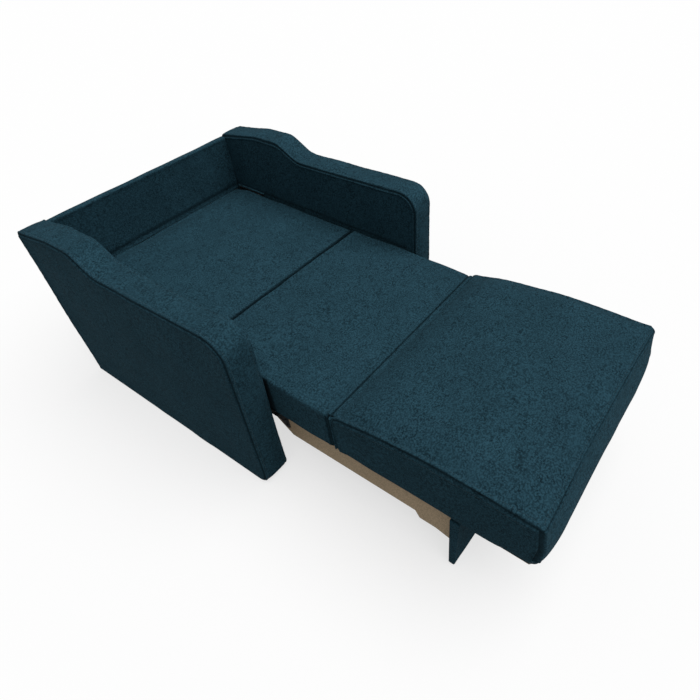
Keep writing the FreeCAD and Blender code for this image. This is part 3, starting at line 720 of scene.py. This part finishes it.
def seam_distance(name, grid, sizes, places, seams):
    """Distance of each vertex of a face to the nearest sewn border of that face."""
    width, top, front = sizes
    lengths = {"top": (width, top), "bottom": (width, top), "front": (width, front),
               "rear": (width, front), "near": (top, front), "far": (top, front)}[name]
    first = places[0] * lengths[0]
    second = places[1] * lengths[1]
    borders = seams.get(name, "")
    distance = np.full(grid.shape, 1.0)
    if "a" in borders:
        distance = np.minimum(distance, first[:, None])
    if "b" in borders:
        distance = np.minimum(distance, (lengths[0] - first)[:, None])
    if "c" in borders:
        distance = np.minimum(distance, second[None, :])
    if "d" in borders:
        distance = np.minimum(distance, (lengths[1] - second)[None, :])
    return distance


def stuffed(pad, sizes, fine, points, grids, caps, coarse):
    """How far the simulated cloth moves each point, up to the given cap on each face."""
    rough = [spread(length, coarse, EVEN_STEPS) for length in sizes]
    rough_points, rough_grids, rough_quads = pad.points(*rough)
    moved = inflated(pad, rough_points, rough_grids, rough_quads)
    rough_places = face_places(*rough)
    fine_places = face_places(*fine)
    shift = np.zeros_like(points)
    for name, limit in caps.items():
        part = moved[rough_grids[name]]
        size = np.linalg.norm(part, axis=-1, keepdims=True)
        part = part * limit * np.tanh(size / limit) / np.maximum(size, 1e-9)
        carried_part = carried(rough_places[name], fine_places[name], part)
        shift[grids[name][1:-1, 1:-1]] = carried_part[1:-1, 1:-1]
    return shift


def nearest_seam(sizes, fine, count, grids, seams):
    """Distance of every point to the nearest sewn border of the faces that it is on."""
    nearest = np.full(count, 1.0)
    places = face_places(*fine)
    for name, grid in grids.items():
        distance = seam_distance(name, grid, sizes, places[name], seams)
        flat = grid.reshape(-1)
        nearest[flat] = np.minimum(nearest[flat], distance.reshape(-1))
    return nearest


def darken_seams(piece, pad, points, nearest):
    """Store painted shade at each point: darker in a seam's furrow, and where the piece presses
    against a neighbour.
    """
    dark = np.exp(-(nearest / 0.0024) ** 2)
    if pad.shade is not None:
        dark = np.maximum(dark, pad.shade(points))
    seam = piece.data.attributes.new("seam", "FLOAT", "POINT")
    seam.data.foreach_set("value", dark.astype(np.float32))


def make_pad(pad, caps, seams, spacing=0.009, across=None, coarse=0.014, uneven=1.0):
    """Build one padded piece.

    caps is how far the cloth may move on each face. seams names the sewn borders of each face:
    a and b are its first and last rows, c and d its first and last columns.
    """
    sizes = pad.sizes()
    steps = (across or spacing, spacing, spacing)
    fine = [spread(length, step, EDGE_STEPS) for length, step in zip(sizes, steps)]
    points, grids, quads = pad.points(*fine)
    if caps:
        points = points + stuffed(pad, sizes, fine, points, grids, caps, coarse)
    nearest = nearest_seam(sizes, fine, len(points), grids, seams)
    height = relief(nearest) + pucker(points, nearest) + uneven * slack(points)
    height[grids["bottom"].reshape(-1)] = 0.0
    points = points + normals_of(points, quads) * height[:, None]
    piece = to_mesh(pad.name, points, quads)
    darken_seams(piece, pad, points, nearest)
    if faces_inwards(points, quads):
        piece.data.flip_normals()
    return Made(piece, points, grids, normals_of(points, quads))


def faces_inwards(points, quads):
    """True when the faces' own order makes their normals point inwards in the mesh."""
    a, b, c, d = (points[quads[:, k]] * (1, -1, 1) for k in range(4))
    face = np.cross(c - a, d - b)
    middle = (points * (1, -1, 1)).mean(0)
    return float((((a + b + c + d) / 4 - middle) * face).sum()) < 0


def unit(rows):
    """Each row scaled to length one."""
    return rows / np.maximum(np.linalg.norm(rows, axis=-1, keepdims=True), 1e-9)


def stitch_row(path, outward, pitch, length, radius):
    """Vertices of one row of stitches: three small squares each, thick in the middle."""
    steps = np.linalg.norm(np.diff(path, axis=0), axis=1)
    run = np.concatenate([[0.0], np.cumsum(steps)])
    centres = np.arange(pitch, run[-1] - pitch, pitch)

    def on(table, places):
        return np.stack([np.interp(places, run, table[:, k]) for k in range(3)], axis=1)

    lift = unit(on(outward, centres))
    along = unit(on(path, centres + length / 2) - on(path, centres - length / 2))
    side = np.cross(along, lift)
    rings = []
    for shift, rise, wide in ((-length / 2, -0.3, 0.45), (0.0, 1.0, 1.0), (length / 2, -0.3, 0.45)):
        middle = on(path, centres + shift) + lift * radius * rise
        for angle in (0.0, 0.5 * math.pi, math.pi, 1.5 * math.pi):
            rings.append(middle + (side * math.cos(angle) + lift * math.sin(angle)) * radius * wide)
    return np.stack(rings, axis=1).reshape(-1, 3)


def stitch_faces(count):
    """Faces of that many stitches of twelve vertices each."""
    one = [(3, 2, 1, 0), (8, 9, 10, 11)]
    for ring in (0, 4):
        for k in range(4):
            after = (k + 1) % 4
            one.append((ring + k, ring + after, ring + 4 + after, ring + 4 + k))
    starts = 12 * np.arange(count)
    return (starts[:, None, None] + np.array(one)[None]).reshape(-1, 4)


def stitching(name, made, lines, body, pitch=0.0068, length=0.0044, radius=0.0006):
    """All the rows of small sewn stitches on one piece."""
    rows = []
    for face, border in lines:
        path, outward = made.line(face, border)
        rows.append(stitch_row(path, outward, pitch, length, radius))
    vertices = np.concatenate(rows)
    piece = to_mesh(name, vertices, stitch_faces(len(vertices) // 12))
    piece.data.materials.append(THREAD)
    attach(piece, body)


def upholstered(piece):
    """Fabric of a padded piece."""
    piece.data.materials.append(MATERIALS["upholstery_fabric"])


def dressed(piece, body, fill, *replaced):
    """A padded piece that rides on a body and stands for plain solids of the frame."""
    upholstered(piece)
    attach(piece, body)
    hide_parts(*replaced)


def smooth_step(value):
    """Even rise from 0 to 1 that starts and ends gently."""
    value = np.clip(value, 0.0, 1.0)
    return value * value * (3 - 2 * value)


def tucked(points, half, edge, bottom, amount, front_rise=0.0):
    """The fabric goes round the lower side edges and inwards under the frame."""
    rise = front_rise * smooth_step((points[:, 1] - 1.78) / 0.08)
    low = smooth_step((edge + rise - points[:, 2]) / (edge + rise - bottom))
    points[:, 0] *= 1 - amount / half * low


def hem_lift(points, bottom, x_half, rear, front, rise=0.0035, hem=0.012):
    """The underside sits higher inside the hem, so that the dust cover shows below it."""
    low = points[:, 2] < bottom + 0.002
    inside = np.minimum(x_half - np.abs(points[:, 0]),
                        np.minimum(points[:, 1] - rear, front - points[:, 1]))
    points[:, 2] += np.where(low, rise * smooth_step((inside - hem + 0.006) / 0.004), 0.0)


def crown(points, half, rear, front, low, high, amount, power):
    """Raise the top of a cushion between its borders."""
    across = np.clip(1 - np.abs(points[:, 0] / half) ** power, 0, 1)
    along = np.clip((points[:, 1] - rear) / (front - rear), 0, 1)
    along = 1 - np.abs(2 * along - 1) ** power
    weight = smooth_step((points[:, 2] - low) / (high - low))
    points[:, 2] += amount * across * along * weight


# Cushions

def flat_cushion(name, half, rear, front, top, edge, rear_drop=0.0):
    """Rear or middle cushion: flat box with soft rolled edges."""
    bottom = 0.290
    section = name.replace("cushion", "section")

    def outline(across):
        pull = 0.0025 * (1 - across ** 2)
        middle = (rear + front) / 2
        return [(rear + pull, bottom, 0.004), (rear + pull, top, edge), (middle, top + 0.0025, 0.8),
                (front - pull, top, 0.017), (front - pull, bottom, 0.004)]

    def lift(points):
        crown(points, half, rear - 0.01, front + 0.01, 0.40, 0.45, 0.012, 9)
        from_rear = smooth_step((rear + 0.0865 - points[:, 1]) / 0.08)
        points[:, 2] -= rear_drop * from_rear * smooth_step((points[:, 2] - 0.38) / 0.06)
        tucked(points, half, 0.303, bottom, 0.010)
        hem_lift(points, bottom, half, rear, front)

    # Painted shade: darker along the cushion's ends and along its sides beside the arms, just below
    # its top, where it meets its neighbours.
    def shade(points):
        from_end = np.minimum(points[:, 1] - rear, front - points[:, 1])
        beside_arms = points[:, 1] < 1.0
        from_arm = np.where(beside_arms, half - np.abs(points[:, 0]), 1.0)
        near = np.maximum(np.minimum(from_end, from_arm), 0.0)
        below = smooth_step((top + 0.002 - points[:, 2]) / 0.006)
        return 1.35 * np.exp(-(near / 0.007) ** 2) * below

    pad = Pad(name, -half, half, outline, (1, 3, 4, 0), 0.012, lift, (0.002, 0.002), shade)
    made = make_pad(
        pad, {"top": 0.007, "near": 0.002, "far": 0.002, "front": 0.0008, "rear": 0.0008},
        {"near": "b", "far": "b"})
    dressed(made.piece, section, 0.8, section + "_cover", section + "_foam")


def seat_cushion():
    """Boxed seat cushion, rising to the front, with a rolled front and sewn edges all round."""
    rear, bottom = 1.2475, 0.2665

    def outline(across):
        pull = 0.002 * (1 - across ** 2)
        from_edge = SEAT_HALF * (1 - abs(across))
        radius = 0.026 if across > 0 else 0.010
        turn = max(0.0, radius - from_edge)
        corner = radius - math.sqrt(radius ** 2 - turn ** 2)
        front = 1.901 - 0.005 * (1 - across ** 2) - corner
        belly = 1 - abs(across) ** 8
        far = (1 + across) / 2
        return [(rear + 0.004, bottom, 0.024), (rear + pull, 0.4620 - 0.004 * far, 0.034),
                (1.40, 0.4905, 0.9), (1.60, 0.5115 + 0.004 * far, 0.9),
                (1.78, 0.5045 + 0.013 * far, 0.6), (front, 0.5015 + 0.019 * far, 0.006),
                (front + 0.009 + 0.023 * belly, 0.410, 0.13),
                (front + 0.001 + 0.021 * belly, 0.345, 0.010), (1.880, bottom, 0.010)]

    def lift(points):
        crown(points, SEAT_HALF, rear, 1.897, 0.44, 0.485, 0.033, 12)
        tucked(points, SEAT_HALF, 0.310, bottom, 0.0212, 0.030)
        hem_lift(points, bottom, SEAT_HALF, rear, 1.897)

    pad = Pad("seat_cushion", -SEAT_HALF, SEAT_HALF, outline, (1, 5, 7, 0), 0.006, lift,
              (0.004, 0.004))
    made = make_pad(
        pad, {"top": 0.010, "near": 0.004, "far": 0.004, "front": 0.005, "rear": 0.001},
        {"top": "abd", "near": "abc", "far": "abc", "front": "abc"})
    lines = [("top", "a"), ("top", "b"), ("top", "d"), ("near", "c"), ("far", "c"), ("front", "c")]
    stitching("seat_stitching", made, lines, "seat_section")
    dressed(made.piece, "seat_section", 0.85, "seat_section_cover", "seat_section_foam")


def across_hinge(piece):
    """Fabric that joins the middle and the seat cushion, given its material and fixed where it is
    made.
    """
    upholstered(piece)
    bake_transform(piece)


def hinge_lips():
    """Padded fabric lips that close the seam over the hinge between middle and seat cushion."""

    rear, front, half = 1.2265, 1.2590, 0.379

    def outline(across):
        return [(rear, LIP_BOTTOM, 0.001), (rear, 0.4535, 0.001), (1.2395, 0.4545, 0.005),
                (SEAM_DEPTH, 0.4452, 0.0006), (1.2465, 0.4560, 0.005), (front, 0.4590, 0.001),
                (front, LIP_BOTTOM, 0.001)]

    # Painted shade in the valley of the seam between the two lips.
    def shade(points):
        in_seam = np.abs(points[:, 1] - SEAM_DEPTH) < 0.005
        return smooth_step((0.4545 - points[:, 2]) / 0.004) * in_seam

    pad = Pad("hinge_lips", -half, half, outline, (1, 5, 6, 0), 0.002, shade=shade)
    across_hinge(make_pad(pad, {}, {}, spacing=0.001, across=0.008, uneven=0.4).piece)


def side_gusset(name, side):
    """Folded fabric at the end of the same seam."""
    inner, outer, bottom = 0.370, 0.3775, 0.300

    def outline(across):
        return [(GUSSET_REAR, bottom, 0.002), (GUSSET_REAR, LIP_BOTTOM, 0.002),
                (GUSSET_FRONT, LIP_BOTTOM, 0.002), (GUSSET_FRONT, bottom, 0.002)]

    def lift(points):
        along = (points[:, 1] - GUSSET_REAR) / (GUSSET_FRONT - GUSSET_REAR)
        fold = np.abs(np.sin(math.pi * along))
        outside = np.abs(points[:, 0]) > outer - 0.002
        points[:, 0] += np.where(outside, side * 0.0135 * fold ** 0.6, 0.0)

    x0, x1 = sorted((side * inner, side * outer))
    pad = Pad(name, x0, x1, outline, (1, 2, 3, 0), 0.0015, lift)
    across_hinge(make_pad(pad, {}, {}, spacing=0.0016, uneven=0.5).piece)


def seat_dust_cover():
    """Dust cover stapled under the seat frame, a single layer that sags a little."""
    width, rear, front, height = 0.730, 1.266, 1.872, 0.2656
    across = np.linspace(-width / 2, width / 2, 61)
    along = np.linspace(rear, front, 51)
    x, depth = np.meshgrid(across, along, indexing="ij")
    sag = 0.0018 * np.cos(math.pi * x / width) * np.sin(math.pi * (depth - rear) / (front - rear))
    points = np.stack([x, depth, height - sag], axis=-1).reshape(-1, 3)
    grid = np.arange(len(points)).reshape(x.shape)
    quads = np.stack([grid[:-1, :-1], grid[1:, :-1], grid[1:, 1:], grid[:-1, 1:]], axis=-1)
    piece = to_mesh("seat_dust_cloth", points, quads.reshape(-1, 4))
    piece.data.materials.append(MATERIALS["dust_cloth"])
    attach(piece, "seat_section")
    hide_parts("seat_section_dust_cover")


# Arms

def arm_outline(across):
    """Side view of an arm; its band swells between the two seams."""
    puff = 0.0085 * (1 - abs(across) ** 2.6)
    return [(-0.0235, 0.0010, 0.010), (-0.0235, 0.6785 + puff, 0.024),
            (0.190, 0.7185 + puff, 0.30), (0.316, 0.7200 + puff, 0.085),
            (0.418, 0.6645 + puff, 0.11),
            (1.0035 + puff, 0.6905 + puff, 0.078), (0.9755 + puff, 0.0010, 0.046)]


def painted_bed_line_shade(points):
    """Painted shade: a dark line where the cushions of the open bed press against the body's padding.
    """
    inside = (np.abs(points[:, 0]) < ARM_INNER + 0.012) & (points[:, 1] < BED_LINE_FRONT)
    return 0.9 * np.exp(-((points[:, 2] - BED_LINE_HEIGHT) / 0.006) ** 2) * inside


def make_arm(name, side):
    """Padded arm with sewn edges; its outer side bulges more than the one beside the bed."""
    x0, x1 = sorted((side * ARM_INNER, side * ARM_OUTER))
    near, far = (0.0045, 0.0012) if side < 0 else (0.0012, 0.0045)
    pad = Pad(name + "_pad", x0, x1, arm_outline, (1, 5, 6, 0), 0.0075, bulge=(near, far),
              shade=painted_bed_line_shade)
    made = make_pad(
        pad, {"top": 0.005, "front": 0.005, "near": near, "far": far, "rear": 0.001},
        {"top": "ab", "front": "ab", "rear": "ab", "near": "acb", "far": "acb"},
        coarse=0.013)
    lines = [("top", "a"), ("top", "b"), ("front", "a"), ("front", "b")]
    stitching(name + "_stitching", made, lines, "chair_body")
    dressed(made.piece, "chair_body", 0.75, name + "_cover")


def rail_flap(name, side):
    """Narrow padded flap on the arm that closes the gap over its pivot rail."""
    low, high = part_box("pivot_rails")
    overlap = 0.006
    rear = BACK_FACE - high.y - overlap
    front = BACK_FACE - low.y + overlap
    bottom = high.z + 0.0006
    top = bottom + 0.005

    def outline(across):
        return [(rear, bottom, 0.001), (rear, top, 0.002), (front, top, 0.002),
                (front, bottom, 0.001)]

    x0, x1 = sorted((side * 0.3873, side * 0.3950))
    piece = make_pad(Pad(name, x0, x1, outline, (1, 2, 3, 0), 0.001), {}, {}, uneven=0.2).piece
    upholstered(piece)
    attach(piece, "chair_body")


# Back and front panels

def make_back():
    """Thin padded front above the bed, closed over the top, and the plain skin behind."""
    half = ARM_INNER - 0.0006
    bottom, top, rear = 0.432, 0.6735, -0.0225

    def front_outline(across):
        return [(-0.0128, bottom, 0.001), (-0.0128, 0.6605, 0.002), (rear, 0.6605, 0.002),
                (rear, top, 0.006), (0.0025, top, 0.009), (0.0030, 0.459, 0.004),
                (-0.0005, 0.452, 0.003), (-0.0005, bottom, 0.001)]

    def rear_outline(across):
        return [(rear, 0.020, 0.001), (rear, 0.660, 0.001), (-0.0192, 0.660, 0.001),
                (-0.0192, 0.020, 0.001)]

    pad = Pad("back_panel_pad", -half, half, front_outline, (3, 4, 7, 0), 0.004, shade=painted_bed_line_shade)
    made = make_pad(pad, {"front": 0.003}, {}, uneven=0.6)
    dressed(made.piece, "chair_body", 0.5, "back_panel_cover")
    skin = Pad("back_panel_skin", -half, half, rear_outline, (1, 2, 3, 0), 0.001)
    made = make_pad(skin, {}, {}, uneven=0.2)
    dressed(made.piece, "chair_body", 0.1, "back_panel_cover")


def make_front_panel():
    """Padded panel on the floor, thicker at the top than at the bottom."""
    top, top_thickness, low_thickness = 0.2655, 0.034, 0.024

    def outline(across):
        front = PANEL_DEPTH + 0.003 * (1 - across ** 4)
        return [(PANEL_DEPTH, 0.008, 0.004), (PANEL_DEPTH, top, 0.004),
                (front + top_thickness, top, 0.008), (front + low_thickness, 0.006, 0.008)]

    pad = Pad("front_panel_pad", -PANEL_HALF, PANEL_HALF, outline, (1, 2, 3, 0), 0.005,
              bulge=(0.001, 0.001))
    made = make_pad(pad, {"front": 0.004}, {}, uneven=0.6)
    dressed(made.piece, "pull_out_support", 0.5, "front_panel_cover")


make_camera()
make_stage()
far_light("overhead", source=(0.12, -0.40, 1.0), spread=60.0, power=2.5)
MATERIALS = make_materials()
THREAD = thread_material()
dress_frame(MATERIALS)

flat_cushion("rear_cushion", REAR_HALF, 0.0035, FOLD_DEPTH - CUSHION_GAP, top=0.4515, edge=0.012,
             rear_drop=0.013)
flat_cushion("middle_cushion", MIDDLE_HALF, FOLD_DEPTH + CUSHION_GAP, SEAT_DEPTH - 0.006, top=0.4535,
             edge=0.016)
seat_cushion()
seat_dust_cover()
hinge_lips()
side_gusset("near_gusset", -1)
side_gusset("far_gusset", 1)
make_arm("right_arm", -1)
make_arm("left_arm", 1)
rail_flap("right_rail_flap", -1)
rail_flap("left_rail_flap", 1)
make_back()
make_front_panel()
